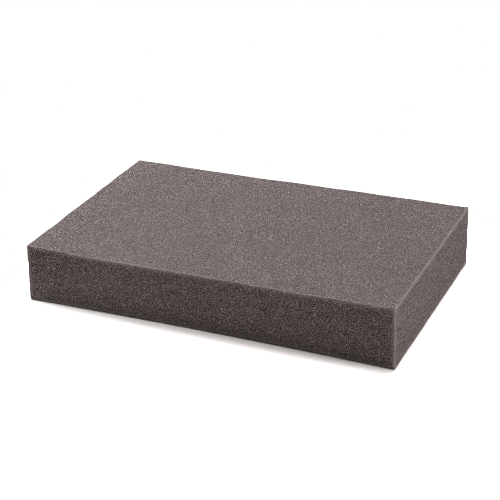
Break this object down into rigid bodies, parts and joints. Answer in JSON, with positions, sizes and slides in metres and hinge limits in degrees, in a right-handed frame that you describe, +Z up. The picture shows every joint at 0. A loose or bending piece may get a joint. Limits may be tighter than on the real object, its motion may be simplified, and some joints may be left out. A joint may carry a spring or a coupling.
{
  "type": "foam back protector insert",
  "caption": "Plain rectangular slab of dark grey open-cell foam that cushions the back inside a riding garment or rests loose under what it protects.",
  "frame": {"origin": "middle of the slab's underside, on the surface that it lies on", "axes": "+X along the slab's length, +Y across its width, +Z up through its thickness"},
  "size_m": [0.31, 0.2, 0.05],
  "materials": {
    "foam": "matte"
  },
  "bodies": {
    "root": {"foam_block": "foam"}
  },
  "joints": []
}
